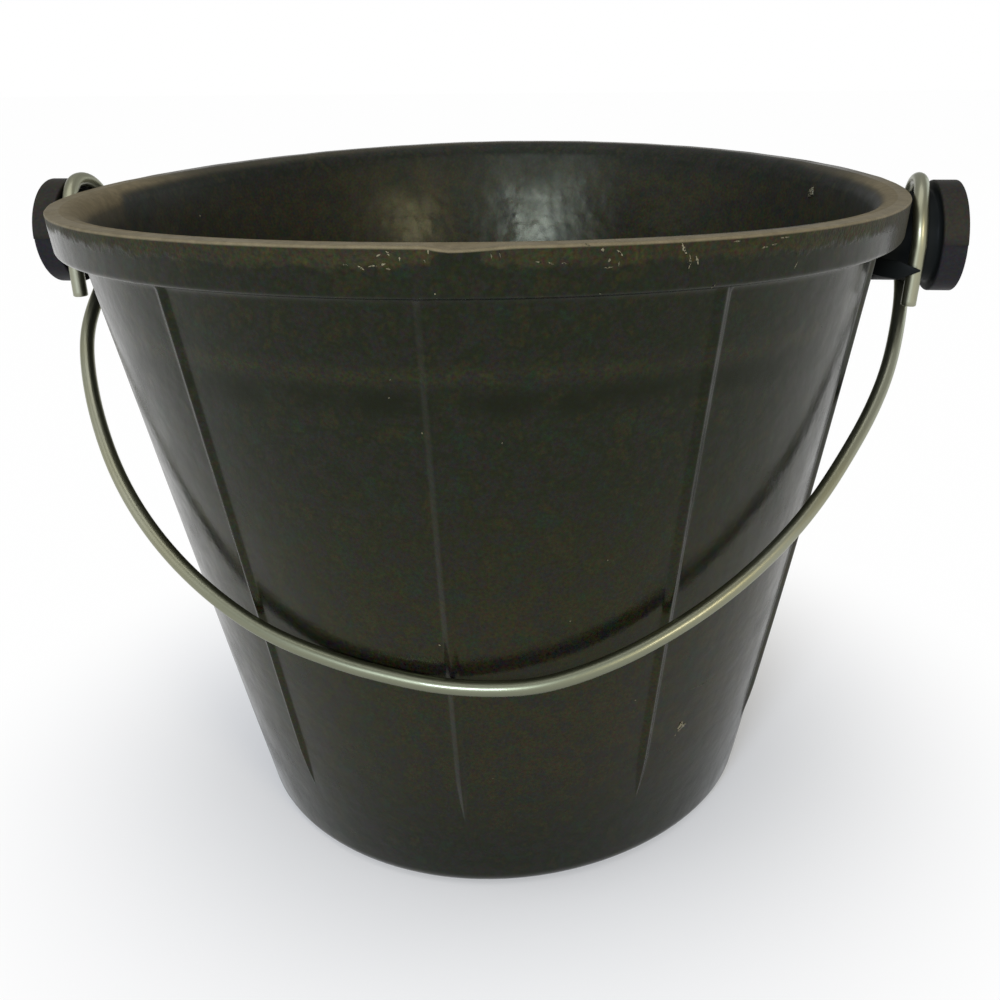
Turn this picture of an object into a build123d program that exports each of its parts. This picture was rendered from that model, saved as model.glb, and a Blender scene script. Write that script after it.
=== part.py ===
from build123d import *
import math
import os

# Body: round tapered wall, standing on the plane z = 0, lug axis along X, front at -Y
height = 250.0
rim_radius = 160.0
base_radius = 104.5
rim_overhang = 7.0
wall_thickness = 5.0
floor_thickness = 6.0
base_edge_round = 8.0
floor_corner_round = 10.0
bore_overrun = 5.0

# Rim band that stiffens the mouth
band_height = 14.0
band_draft = 0.1
rim_outer_round = 0.6
rim_inner_round = 8.0
band_lower_round = 0.8
band_root_round = 4.5

# Upright ribs on the outside of the wall
rib_count = 10
rib_height = 1.9
rib_face_width = 1.0
rib_foot_width = 6.0
rib_sink = 2.0
rib_end_z = 34.5
rib_taper_length = 20.0
rib_low_width_share = 0.8
rib_tip_width_share = 0.12
rib_tip_rise = 0.05
rib_knee_share = 0.45
rib_knee_width_share = 0.5
rib_knee_height_share = 0.65
rib_band_overlap = 3.5

# Lugs that carry the bail
boss_radius = 16.5
boss_below_rim = 1.0
lug_root_depth = 20.0
neck_gap = 10.0
flange_thickness = 9.0
flange_overlap = 4.25
parting_step = 0.5
flange_edge = 1.2
boss_root_round = 1.5

# Bail of round steel wire
wire_diameter = 5.6
eye_clearance = 0.7
rim_clearance = 0.5
rest_clearance = 0.45
tail_length = 22.0
leg_straight = 3.7
bow_radius_share = 0.84
flank_radius_share = 1.19
bow_end_turn = math.radians(31.4)
flank_end_turn = math.radians(70.4)
wire_end_chamfer = 0.5

# Sizes that follow from the ones above
band_z = height - band_height
wall_taper = (rim_radius - rim_overhang - base_radius) / height
lug_z = height - boss_below_rim - boss_radius
flange_radius = boss_radius + flange_overlap
flange_inner_x = rim_radius + neck_gap
flange_outer_x = flange_inner_x + flange_thickness
wire_radius = wire_diameter / 2
eye_radius = boss_radius + eye_clearance + wire_radius
wire_x = rim_radius + rim_clearance + wire_radius
taper_angle = math.atan(wall_taper)
bow_radius = bow_radius_share * wire_x
flank_radius = flank_radius_share * wire_x
flank_rise = math.sin(flank_end_turn) - math.sin(bow_end_turn)
bow_half_width = bow_radius * math.sin(bow_end_turn)
flank_end_x = bow_half_width + flank_radius * flank_rise
shoulder_radius = (wire_x - flank_end_x) / (1 - math.sin(flank_end_turn))
bow_arcs = [
    (0, bow_end_turn, bow_radius),
    (bow_end_turn, flank_end_turn, flank_radius),
    (flank_end_turn, math.pi / 2, shoulder_radius),
]
bail_reach = leg_straight + sum(r * (math.cos(a) - math.cos(b)) for a, b, r in bow_arcs)


def wall_radius(z):
    """Outer radius of the plain wall at height z."""
    return base_radius + wall_taper * z


def bore_radius(z):
    """Inner radius of the wall at height z."""
    return wall_radius(z) - wall_thickness


def turned(points, rounds, axis):
    """Solid of revolution from a closed outline with some of its corners rounded."""
    outline = make_face(Polyline(*points, close=True))
    for corner, radius in rounds:
        near = Vector(*corner)
        vertex = min(outline.vertices(), key=lambda v: (v.center() - near).length)
        outline = fillet(vertex, radius)
    return revolve(Plane.XZ * outline, axis=axis)


def shell():
    """Wall, floor and rim band in one turned solid."""
    rim_in = bore_radius(height)
    base_corner = (base_radius, 0)
    band_root = (wall_radius(band_z), band_z)
    band_corner = (rim_radius - band_draft * band_height, band_z)
    rim_outer = (rim_radius, height)
    rim_inner = (rim_in, height)
    floor_corner = (bore_radius(floor_thickness), floor_thickness)
    points = [
        (0, 0),
        base_corner,
        band_root,
        band_corner,
        rim_outer,
        rim_inner,
        floor_corner,
        (0, floor_thickness),
    ]
    rounds = [
        (base_corner, base_edge_round),
        (band_root, band_root_round),
        (band_corner, band_lower_round),
        (rim_outer, rim_outer_round),
        (rim_inner, rim_inner_round),
        (floor_corner, floor_corner_round),
    ]
    return turned(points, rounds, Axis.Z)


def hollow():
    """The space inside the wall, a little taller than the bucket."""
    top = height + bore_overrun
    points = [
        (0, floor_thickness),
        (bore_radius(floor_thickness), floor_thickness),
        (bore_radius(top), top),
        (0, top),
    ]
    return turned(points, [], Axis.Z)


def rib_section(z, width, rise):
    """Cross-section of a rib at height z, scaled in width, standing rise above the wall."""
    foot = rib_foot_width / 2 * width
    face = rib_face_width / 2 * width
    lean = Plane(
        origin=(wall_radius(z), 0, z),
        x_dir=(0, -1, 0),
        z_dir=(math.sin(taper_angle), 0, math.cos(taper_angle)),
    )
    points = [
        (-foot, -rib_sink),
        (foot, -rib_sink),
        (foot, 0),
        (face, rise),
        (-face, rise),
        (-foot, 0),
    ]
    return lean * make_face(Polyline(*points, close=True))


def rib():
    """One rib on the +X side: it narrows a little down the wall, then runs out over a knee to a point."""
    full_z = rib_end_z + rib_taper_length
    knee_z = rib_end_z + rib_taper_length * rib_knee_share
    sections = [
        rib_section(rib_end_z, rib_tip_width_share, rib_tip_rise),
        rib_section(knee_z, rib_knee_width_share, rib_height * rib_knee_height_share),
        rib_section(full_z, rib_low_width_share, rib_height),
        rib_section(band_z + rib_band_overlap, 1.0, rib_height),
    ]
    return loft(sections, ruled=True)


def lug_turning(radius):
    """Boss and retaining flange turned about the X axis, before the bore is cut away."""
    start = bore_radius(lug_z) - lug_root_depth
    root = (flange_inner_x, boss_radius)
    inner_edge = (flange_inner_x, radius)
    outer_edge = (flange_outer_x, radius)
    points = [
        (start, 0),
        (start, boss_radius),
        root,
        inner_edge,
        outer_edge,
        (flange_outer_x, 0),
    ]
    rounds = [(root, boss_root_round), (inner_edge, flange_edge), (outer_edge, flange_edge)]
    return turned(points, rounds, Axis.X)


def lug():
    """The +X lug, its upper half a little prouder than its lower half at the mould parting."""
    size = 4 * flange_radius
    half = Box(4 * rim_radius, size, size, align=(Align.CENTER, Align.CENTER, Align.MIN))
    upper = lug_turning(flange_radius) & half
    lower = lug_turning(flange_radius - parting_step) - half
    return Pos(0, 0, lug_z) * (upper + lower)


def body():
    """The rubber moulding: shell, ribs and both lugs."""
    moulding = shell()
    for index in range(rib_count):
        moulding += Rot(0, 0, 90 + index * 360 / rib_count) * rib()
    one_lug = lug() - hollow()
    moulding += one_lug
    moulding += Rot(0, 0, 180) * one_lug
    return moulding


def rest_gap(angle):
    """Clear distance between the hanging bow and the front rib at a swing from straight down."""
    y = eye_radius * math.cos(angle) - bail_reach * math.sin(angle)
    z = lug_z - eye_radius * math.sin(angle) - bail_reach * math.cos(angle)
    normal = (-y - wall_radius(z)) * math.cos(taper_angle)
    return normal - rib_height - wire_radius


def rest_angle():
    """Swing at which the bow lies against the front rib with the resting clearance."""
    low, high = math.radians(20), math.radians(80)
    for _ in range(60):
        middle = (low + high) / 2
        if rest_gap(middle) < rest_clearance:
            low = middle
        else:
            high = middle
    return high


def bow_offset(turn):
    """Half width and reach of the bow where the wire has turned this far from the bottom."""
    x = 0.0
    reach = bail_reach
    for start, end, radius in bow_arcs:
        here = min(max(turn, start), end)
        x += radius * (math.sin(here) - math.sin(start))
        reach -= radius * (math.cos(start) - math.cos(here))
    return x, reach


def bail():
    """One length of wire: open eye round each boss, short legs and the bow between them."""
    angle = rest_angle()
    leave = Vector(0, eye_radius * math.cos(angle), lug_z - eye_radius * math.sin(angle))
    along = Vector(0, -math.sin(angle), -math.cos(angle))

    def eye_point(side, turn):
        return Vector(side * wire_x, eye_radius * math.cos(turn), lug_z + eye_radius * math.sin(turn))

    def bow_point(side, turn):
        x, reach = bow_offset(turn)
        return Vector(side * x, 0, 0) + leave + along * reach

    def half(side):
        tail_top = eye_point(side, math.pi)
        tail_end = tail_top - Vector(0, 0, tail_length)
        over_top = eye_point(side, (math.pi - angle) / 2)
        turn_end = eye_point(side, -angle)
        edges = [
            Line(tail_end, tail_top),
            ThreePointArc(tail_top, over_top, turn_end),
            Line(turn_end, bow_point(side, math.pi / 2)),
        ]
        for start, end, _ in reversed(bow_arcs):
            marks = [end, (start + end) / 2, start]
            edges.append(ThreePointArc(*[bow_point(side, mark) for mark in marks]))
        return edges

    right = half(1)
    path = Wire(right + half(-1))
    section = Plane(origin=right[0] @ 0, z_dir=right[0] % 0) * Circle(wire_radius)
    wire = sweep(section, path=path)
    cut_z = lug_z - tail_length
    cut_edges = [e for e in wire.edges() if abs(e.center().Z - cut_z) < 0.01 and e.length > wire_radius]
    return chamfer(cut_edges, wire_end_chamfer)


nodes = {"bucket_body": body, "bail": bail}
os.makedirs("parts", exist_ok=True)
for name, make in nodes.items():
    solid = make()
    solid.label = name
    export_step(solid, f"parts/{name}.step")
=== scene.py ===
"""Rubber bucket with a wire bail: the visible surfaces and finishes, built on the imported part."""

import logging
import math
from dataclasses import dataclass, field
from enum import Enum

import bpy
import numpy as np
from mathutils import Matrix


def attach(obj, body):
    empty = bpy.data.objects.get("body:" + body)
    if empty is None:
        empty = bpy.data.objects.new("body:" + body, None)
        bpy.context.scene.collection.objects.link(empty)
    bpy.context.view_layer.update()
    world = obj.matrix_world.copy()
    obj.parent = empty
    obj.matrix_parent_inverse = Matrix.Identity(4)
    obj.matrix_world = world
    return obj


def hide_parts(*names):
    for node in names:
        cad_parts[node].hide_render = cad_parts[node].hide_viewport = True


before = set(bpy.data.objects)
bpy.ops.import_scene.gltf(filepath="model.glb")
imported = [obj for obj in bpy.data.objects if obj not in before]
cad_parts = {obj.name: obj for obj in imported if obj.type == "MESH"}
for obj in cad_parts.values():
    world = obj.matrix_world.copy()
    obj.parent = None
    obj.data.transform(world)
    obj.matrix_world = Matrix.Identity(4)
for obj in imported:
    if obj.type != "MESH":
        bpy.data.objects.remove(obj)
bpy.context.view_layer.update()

LOG = logging.getLogger("rubber_bucket")
MM = 0.001

Colour = tuple[float, float, float]
Span = tuple[float, float]
Socket = bpy.types.NodeSocket


class Side(Enum):
    """The two lugs, by the sign of X."""

    LEFT = -1
    RIGHT = 1


class Slot(Enum):
    """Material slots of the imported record."""

    RUBBER = "rubber"
    WIRE = "plated_wire"


class Coat(Enum):
    """Numbers of the body's materials."""

    RUBBER = 0
    LUG = 1
    BORE = 2


class Ground(Enum):
    """Surfaces of the rubber that carry small marks."""

    BAND = "band"
    WALL = "wall"
    BORE = "bore"


class Run(Enum):
    """Stretches of the body's half section, in order: runs as whole numbers, arcs and the end as halves."""

    UNDERSIDE = 0.0
    WALL = 1.0
    BAND_ROOT = 1.5
    BAND_UNDERSIDE = 2.0
    BAND_EDGE = 2.5
    BAND = 3.0
    RIM_EDGE = 3.5
    RIM = 4.0
    RIM_ROUND = 4.5
    BORE = 5.0
    FLOOR_ROUND = 5.5
    FLOOR_MIDDLE = 6.5


def smooth(value: np.ndarray, low: float, high: float) -> np.ndarray:
    """Cubic step from 0 at low to 1 at high: 3t^2 - 2t^3 of the clipped share t of the way."""
    t = np.clip((value - low) / (high - low), 0.0, 1.0)
    return t * t * (3.0 - 2.0 * t)


def ripple(angle: np.ndarray, seed: int, waves: tuple[int, ...]) -> np.ndarray:
    """Closed wavy line round the bucket: the mean of cosines with fixed random phases.

    Args:
        angle: Angles round the axis in radians.
        seed: Seed of the phases.
        waves: Whole numbers of waves in one turn.

    Returns:
        Heights between -1 and 1.
    """
    rng = np.random.default_rng(seed)
    phases = rng.uniform(0.0, 2.0 * np.pi, len(waves))
    gains = rng.uniform(0.5, 1.0, len(waves))
    lines = [g * np.cos(k * angle + p) for k, p, g in zip(waves, phases, gains)]
    return np.sum(lines, axis=0) / gains.sum()


def closed_faces(rows: int, columns: int, first: int) -> list[np.ndarray]:
    """Faces of a grid of rings, closed round its columns and to a pole at each end.

    Args:
        rows: Rings in the grid.
        columns: Points in each ring.
        first: Index of the grid's first vertex. The two poles follow its last one.

    Returns:
        Quads between the rings, then triangles to the first pole and to the last.
    """
    ring = first + columns * np.arange(rows)[:, None]
    near, far = ring + np.arange(columns), ring + np.roll(np.arange(columns), -1)
    quads = np.stack([near[:-1], far[:-1], far[1:], near[1:]], -1).reshape(-1, 4)
    pole = np.full(columns, first + rows * columns)
    return [quads, np.stack([far[0], near[0], pole], -1), np.stack([near[-1], far[-1], pole + 1], -1)]


@dataclass
class Surface:
    """Vertices, faces and vertex masks of closed surfaces that share one mesh."""

    points: list[np.ndarray] = field(default_factory=list)
    faces: list[np.ndarray] = field(default_factory=list)
    masks: dict[str, list[np.ndarray]] = field(default_factory=dict)
    wraps: list[np.ndarray] = field(default_factory=list)
    finishes: list[np.ndarray] = field(default_factory=list)
    count: int = 0

    def add_grid(
        self,
        grid: np.ndarray,
        masks: dict[str, np.ndarray],
        finish: int | np.ndarray = 0,
        wrap: np.ndarray | None = None,
    ) -> None:
        """Adds a grid of rings and closes both ends with a pole at the mean of the end ring.

        A grid whose faces would look inwards has its columns reversed. Either every grid of a
        surface has surface coordinates or none has.

        Args:
            grid: Points in millimetres, rows by columns by three.
            masks: Mask values, rows by columns.
            finish: Number of the material, for the whole grid or for each row.
            wrap: Surface coordinates in millimetres, rows by columns plus the closing one, by two.
        """
        rows, columns, _ = grid.shape
        spin = np.cross(grid[1:] - grid[:-1], np.roll(grid, -1, 1)[:-1] - grid[:-1])
        if np.sum(spin * (grid[:-1] - grid.mean((0, 1)))) > 0.0:
            grid, wrap = grid[:, ::-1], None if wrap is None else wrap[:, ::-1]
            masks = {name: value[:, ::-1] for name, value in masks.items()}
        ends = np.stack([grid[0].mean(0), grid[-1].mean(0)])
        self.points += [grid.reshape(-1, 3), ends]
        if wrap is not None:
            near, far = wrap[:, :-1], wrap[:, 1:]
            quads = np.stack([near[:-1], far[:-1], far[1:], near[1:]], 2)
            caps = [np.stack([far[0], near[0], near[0]], 1), np.stack([near[-1], far[-1], near[-1]], 1)]
            self.wraps += [corners.reshape(-1, 2) for corners in (quads, *caps)]
        finish = np.broadcast_to(finish, rows)
        self.finishes.append(np.repeat(np.append(finish[:-1], finish[[0, -1]]), columns))
        self.faces += closed_faces(rows, columns, self.count)
        for name in set(self.masks) | set(masks):
            value = masks.get(name, np.zeros((rows, columns)))
            store = self.masks.setdefault(name, [np.zeros(self.count)] if self.count else [])
            store += [value.reshape(-1), np.array([value[0].mean(), value[-1].mean()])]
        self.count += rows * columns + len(ends)

    def mesh(self, name: str) -> bpy.types.Object:
        """Writes the surfaces into a new smooth mesh object, in metres.

        Args:
            name: Name of the object and its mesh.

        Returns:
            The object, at the origin.
        """
        points = np.concatenate(self.points) * MM
        data = bpy.data.meshes.new(name)
        sizes = np.concatenate([np.full(len(f), f.shape[1]) for f in self.faces])
        corners = np.concatenate([f.reshape(-1) for f in self.faces]).astype(np.int32)
        data.vertices.add(len(points))
        data.vertices.foreach_set("co", points.astype(np.float32).ravel())
        data.loops.add(len(corners))
        data.loops.foreach_set("vertex_index", corners)
        data.polygons.add(len(sizes))
        data.polygons.foreach_set("loop_start", (np.cumsum(sizes) - sizes).astype(np.int32))
        data.polygons.foreach_set("use_smooth", np.ones(len(sizes), bool))
        data.polygons.foreach_set("material_index", np.concatenate(self.finishes).astype(np.int32))
        data.update(calc_edges=True)
        if self.wraps:
            wrap = np.concatenate(self.wraps) * MM
            data.uv_layers.new(name="wrap").data.foreach_set("uv", wrap.astype(np.float32).ravel())
        for mask, parts in self.masks.items():
            layer = data.attributes.new(mask, "FLOAT", "POINT")
            layer.data.foreach_set("value", np.concatenate(parts).astype(np.float32))
        data.validate()
        piece = bpy.data.objects.new(name, data)
        bpy.context.scene.collection.objects.link(piece)
        return piece


@dataclass
class NodeBench:
    """Adds and joins shader nodes in one material or world."""

    tree: bpy.types.NodeTree

    def node(self, kind: str, inputs: dict | None = None, **settings: object) -> bpy.types.Node:
        """Adds a node, sets its options and fills its inputs.

        Args:
            kind: Node type without the ShaderNode prefix.
            inputs: Values or sockets by input name or index.
            settings: Node options by attribute name.

        Returns:
            The new node.
        """
        made = self.tree.nodes.new("ShaderNode" + kind)
        for name, value in settings.items():
            setattr(made, name, value)
        for key, value in (inputs or {}).items():
            self.fill(made.inputs[key], value)
        return made

    def fill(self, target: Socket, value: object) -> None:
        """Links a socket to the target, or sets the target's own value."""
        if isinstance(value, bpy.types.NodeSocket):
            self.tree.links.new(value, target)
        else:
            target.default_value = (*value, 1.0) if target.type == "RGBA" and len(value) == 3 else value

    def math(self, operation: str, a: object, b: object = 0.0, clamp: bool = False) -> Socket:
        """Result of one arithmetic node."""
        return self.node("Math", {0: a, 1: b}, operation=operation, use_clamp=clamp).outputs[0]

    def ramp(self, value: Socket, low: float, high: float, start: float = 0.0, end: float = 1.0) -> Socket:
        """Smooth clipped change from start at low to end at high."""
        limits = {"Value": value, "From Min": low, "From Max": high, "To Min": start, "To Max": end}
        return self.node("MapRange", limits, interpolation_type="SMOOTHSTEP").outputs[0]

    def noise(self, coords: Socket, scale: float, detail: float = 2.0, rough: float = 0.5) -> Socket:
        """Value of a noise pattern."""
        inputs = {"Vector": coords, "Scale": scale, "Detail": detail, "Roughness": rough}
        return self.node("TexNoise", inputs).outputs[0]

    def blend(self, share: object, a: object, b: object) -> Socket:
        """Colour that goes from a to b as share goes from 0 to 1."""
        return self.node("Mix", {0: share, 6: a, 7: b}, data_type="RGBA").outputs[2]

    def layers(self, colour: object, *coats: tuple[Socket, Colour]) -> Socket:
        """Colour after each coat in turn is laid over it by the coat's share."""
        for share, coat in coats:
            colour = self.blend(share, colour, coat)
        return colour

    def product(self, first: Socket, second: Socket) -> Socket:
        """The first value times the second."""
        return self.math("MULTIPLY", first, second)

    def total(self, start: object, *parts: tuple[Socket, float]) -> Socket:
        """Start plus each part's value times its gain."""
        for value, gain in parts:
            start = self.node("Math", {0: value, 1: gain, 2: start}, operation="MULTIPLY_ADD").outputs[0]
        return start

    def bump(self, relief: Socket, strength: float, distance: float) -> Socket:
        """Normal of a surface with this relief."""
        return self.node("Bump", {"Strength": strength, "Distance": distance, "Height": relief}).outputs[0]

    def surface(self, inputs: dict) -> None:
        """Adds a Principled shader with these inputs, and the material's output."""
        shader = self.node("BsdfPrincipled", inputs)
        self.node("OutputMaterial", {"Surface": shader.outputs[0]})

    def speckle(self, colour: Socket, coords: Socket, scale: float, depth: float) -> Socket:
        """Colour times a noise of its own in each channel, with the mean 1 and the given depth."""
        noise = self.node("TexNoise", {"Vector": coords, "Scale": scale, "Detail": 2.0}).outputs["Color"]
        swing = {0: noise, 1: (depth, depth, depth), 2: (1.0 - 0.5 * depth,) * 3}
        share = self.node("VectorMath", swing, operation="MULTIPLY_ADD").outputs[0]
        share = self.node("VectorMath", {0: share, 1: (0.1, 0.1, 0.1)}, operation="MAXIMUM").outputs[0]
        inputs = {0: 1.0, 6: colour, 7: share}
        return self.node("Mix", inputs, data_type="RGBA", blend_type="MULTIPLY").outputs[2]

    def mask(self, name: str) -> Socket:
        """Value of one of the mesh's vertex masks."""
        return self.node("Attribute", attribute_name=name).outputs["Fac"]


def new_material(name: str) -> tuple[bpy.types.Material, NodeBench]:
    """Starts an empty material.

    Args:
        name: Name of the material.

    Returns:
        The material and its bench.
    """
    material = bpy.data.materials.new(name)
    material.use_nodes = True
    material.node_tree.nodes.clear()
    return material, NodeBench(material.node_tree)


@dataclass(frozen=True)
class RubberFinish:
    """Moulded black rubber: olive-black wall, tan rim top, brown flash strip and faint blotches, with painted
    light.

    Heights are in metres. The outer wall has painted shade near the base and a painted darker reflection
    towards the top. A pale line at light_reflection_z with a darker band at dark_reflection_z below it is a
    painted reflection of an edge in the surroundings. The tan on the rim's top is partly the cut face's own
    colour and partly painted sheen, and painted_reflection_tint paints an olive floor into the reflections.
    """

    name: str = "moulded_rubber"
    olive: Colour = (0.0075, 0.0078, 0.0030)
    blue_black: Colour = (0.0018, 0.0040, 0.0036)
    brown: Colour = (0.0115, 0.0092, 0.0048)
    purple: Colour = (0.0070, 0.0058, 0.0072)
    teal: Colour = (0.0030, 0.0095, 0.0070)
    # Colours of a painted reflection: a pale line round the wall and a darker band below it.
    ring: Colour = (0.0300, 0.0270, 0.0150)
    painted_dark_reflection: Colour = (0.0, 0.0012, 0.0016)
    trimmed_and_sheen: Colour = (0.1500, 0.1220, 0.0740)
    flash: Colour = (0.0200, 0.0165, 0.0068)
    stain: Colour = (0.0150, 0.0125, 0.0080)
    torn: Colour = (0.2100, 0.1850, 0.1200)
    # Olive tint of the rubber's reflections: a painted reflection of an olive floor.
    painted_reflection_tint: Colour = (0.96, 1.0, 0.54)
    specular: float = 0.205
    light_reflection_z: float = 0.2155
    dark_reflection_z: float = 0.2065

    def tone(self, bench: NodeBench, place: Socket, blotch: Socket, ragged: Socket, strip: Socket) -> Socket:
        """Colour of the rubber: broad and fine mottling with painted shade and painted reflections on the
        outer wall, then the rim with its painted sheen, the flash strip and marks.

        Args:
            bench: Bench of the material.
            place: Coordinates on the object.
            blotch: Broad uneven pattern.
            ragged: Fine uneven pattern.
            strip: 1 on the flash strip under the rim's edge.

        Returns:
            The colour.
        """
        height = bench.node("SeparateXYZ", {0: place}).outputs[2]
        outside = bench.math("SUBTRACT", 1.0, bench.mask("inside"))
        upper, lower = bench.ramp(height, 0.125, 0.195, 0.0, 0.9), bench.ramp(height, 0.015, 0.065, 0.9, 0.0)
        from_light_reflection = bench.math("ABSOLUTE", bench.math("SUBTRACT", height, self.light_reflection_z))
        from_dark_reflection = bench.math("ABSOLUTE", bench.math("SUBTRACT", height, self.dark_reflection_z))
        dark_reflection_share = bench.product(bench.ramp(from_dark_reflection, 0.001, 0.007, 1.0, 0.0), bench.ramp(blotch, 0.35, 0.6))
        mottle, flecks = bench.noise(place, 170.0, 2.0), bench.noise(place, 120.0, 2.0)
        broken = bench.ramp(bench.noise(place, 1500.0, 1.0), 0.38, 0.52)
        moulded = bench.layers(
            self.olive,
            (bench.ramp(bench.noise(place, 7.0, 3.0), 0.35, 0.7), self.brown),
            # painted darker reflection on the upper outer wall and painted shade near the base, outside only
            (bench.product(bench.math("ADD", upper, lower), outside), self.blue_black),
            # painted reflection: the pale line
            (bench.product(bench.ramp(from_light_reflection, 0.0, 0.005, 0.3, 0.0), outside), self.ring),
            (bench.ramp(mottle, 0.46, 0.58, 0.0, 0.75), self.purple),
            (bench.ramp(mottle, 0.46, 0.34, 0.0, 0.6), self.brown),
            (bench.ramp(flecks, 0.58, 0.70, 0.0, 0.6), self.teal),
            (bench.ramp(blotch, 0.45, 0.75, 0.0, 0.35), self.blue_black),
            (bench.product(strip, bench.ramp(mottle, 0.3, 0.65, 0.9, 0.45)), self.flash),
            (bench.mask("stain"), self.stain),
            # painted reflection: the darker band below the pale line
            (bench.product(dark_reflection_share, outside), self.painted_dark_reflection),
        )
        return bench.layers(
            bench.speckle(moulded, place, 900.0, 3.0),
            # tan of the cut face plus painted sheen on the rim's top
            (bench.product(bench.mask("trimmed_rim"), bench.ramp(ragged, 0.3, 0.7, 0.75, 1.0)), self.trimmed_and_sheen),
            (bench.product(bench.mask("torn"), broken), self.torn),
        )

    def material(self) -> bpy.types.Material:
        """Builds the rubber: colour, uneven gloss, fine grain and the shallow pits of the bore.

        Returns:
            The material.
        """
        material, bench = new_material(self.name)
        place = bench.node("TexCoord").outputs["Object"]
        inside, stain = bench.mask("inside"), bench.mask("stain")
        blotch = bench.noise(place, 45.0, 4.0, 0.6)
        ragged = bench.noise(place, 260.0, 3.0, 0.6)
        edge = bench.math("ADD", bench.mask("flash_strip"), bench.ramp(ragged, 0.25, 0.75, -0.25, 0.25))
        strip = bench.ramp(edge, 0.2, 0.8)
        cut = bench.math("ADD", strip, bench.mask("trimmed_rim"))
        cut = bench.math("ADD", cut, stain, True)
        cells = {"Vector": place, "Scale": 180.0}
        pits = bench.node("TexVoronoi", cells, feature="SMOOTH_F1").outputs["Distance"]
        coarse = bench.product(bench.noise(place, 800.0, 3.0), bench.total(cut, (stain, 2.0)))
        gloss = bench.ramp(blotch, 0.3, 0.75, 0.16, 0.30)
        relief = bench.total(
            0.0,
            (bench.noise(place, 1400.0, 2.0), 0.35),
            (blotch, 0.65),
            (bench.noise(place, 130.0, 2.0), 4.5),
            (bench.product(pits, inside), 6.0),
            (coarse, 8.0),
        )
        bench.surface(
            {
                "Base Color": self.tone(bench, place, blotch, ragged, strip),
                "Roughness": bench.total(gloss, (cut, 0.4), (inside, 0.10), (bench.mask("dusty"), 0.3)),
                "Normal": bench.bump(relief, 0.2, 0.0002),
                "Specular IOR Level": self.specular,
                "Specular Tint": self.painted_reflection_tint,
            }
        )
        return material


@dataclass(frozen=True)
class LugFinish:
    """Duller rubber of the lugs: near black, painted sheen above the mould parting, painted shade on boss and
    disc inside.
    """

    black: Colour = (0.0168, 0.0160, 0.0178)
    brown: Colour = (0.0250, 0.0225, 0.0165)
    shaded: Colour = (0.0075, 0.0088, 0.0085)
    specular: float = 0.04

    def material(self) -> bpy.types.Material:
        """Builds the lugs' rubber: painted sheen and painted shade over near black, faint blotches and a
        dull, grainy skin.

        Returns:
            The material.
        """
        material, bench = new_material("lug_rubber")
        place = bench.node("TexCoord").outputs["Object"]
        blotch = bench.noise(place, 90.0, 4.0, 0.6)
        # painted warm sheen on the upper half of each lug
        share = bench.product(bench.mask("lug_upper"), bench.ramp(blotch, 0.3, 0.7, 0.5, 1.0))
        tone = bench.speckle(bench.blend(share, self.black, self.brown), place, 900.0, 1.2)
        relief = bench.total(blotch, (bench.noise(place, 1400.0, 2.0), 0.4))
        bench.surface(
            {
                # painted shade on the boss, the disc's inner face and the flash tongue
                "Base Color": bench.blend(bench.mask("lug_face"), tone, self.shaded),
                "Roughness": bench.ramp(blotch, 0.3, 0.75, 0.40, 0.52),
                "Normal": bench.bump(relief, 0.2, 0.0002),
                "Specular IOR Level": self.specular,
            }
        )
        return material


@dataclass(frozen=True)
class WireFinish:
    """Bright zinc plate on drawn steel wire, with a pale straw tint and faint draw marks.

    The plate is darker below the heights in low_reflection_z, in metres: a painted darker reflection of the
    floor on the low part of the bow.
    """

    plate: Colour = (0.280, 0.285, 0.210)
    straw: Colour = (0.268, 0.264, 0.170)
    # Darker plate for the painted reflection low on the bow.
    painted_low_reflection: Colour = (0.165, 0.175, 0.115)
    edge: Colour = (0.66, 0.67, 0.60)
    low_reflection_z: Span = (0.10, 0.15)
    lacquer: float = 0.5
    lacquer_roughness: float = 0.09

    def material(self) -> bpy.types.Material:
        """Builds the plated wire: tint drifting along the wire, draw lines, small dull spots and a painted
        darker reflection low on the bow.

        Returns:
            The material.
        """
        material, bench = new_material("zinc_plated_wire")
        place = bench.node("TexCoord").outputs["Object"]
        height = bench.node("SeparateXYZ", {0: place}).outputs[2]
        wrap = bench.node("UVMap", uv_map="wrap").outputs[0]
        stretch = bench.node("Mapping", {"Vector": wrap, "Scale": (900.0, 30.0, 1.0)}).outputs[0]
        lines, spots = bench.noise(stretch, 1.0, 3.0), bench.noise(place, 420.0, 2.0)
        dull = bench.ramp(spots, 0.6, 0.8)
        tone = bench.layers(
            self.plate,
            (bench.ramp(bench.noise(place, 25.0, 3.0), 0.35, 0.7), self.straw),
            # painted darker reflection low on the bow
            (bench.ramp(height, *self.low_reflection_z, 1.0, 0.0), self.painted_low_reflection),
        )
        bench.surface(
            {
                "Base Color": tone,
                "Roughness": bench.total(bench.ramp(lines, 0.3, 0.7, 0.35, 0.43), (dull, 0.08)),
                "Normal": bench.bump(lines, 0.05, 0.0001),
                "Metallic": 1.0,
                "Specular Tint": self.edge,
                "Coat Weight": self.lacquer,
                "Coat Roughness": self.lacquer_roughness,
            }
        )
        return material


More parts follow.
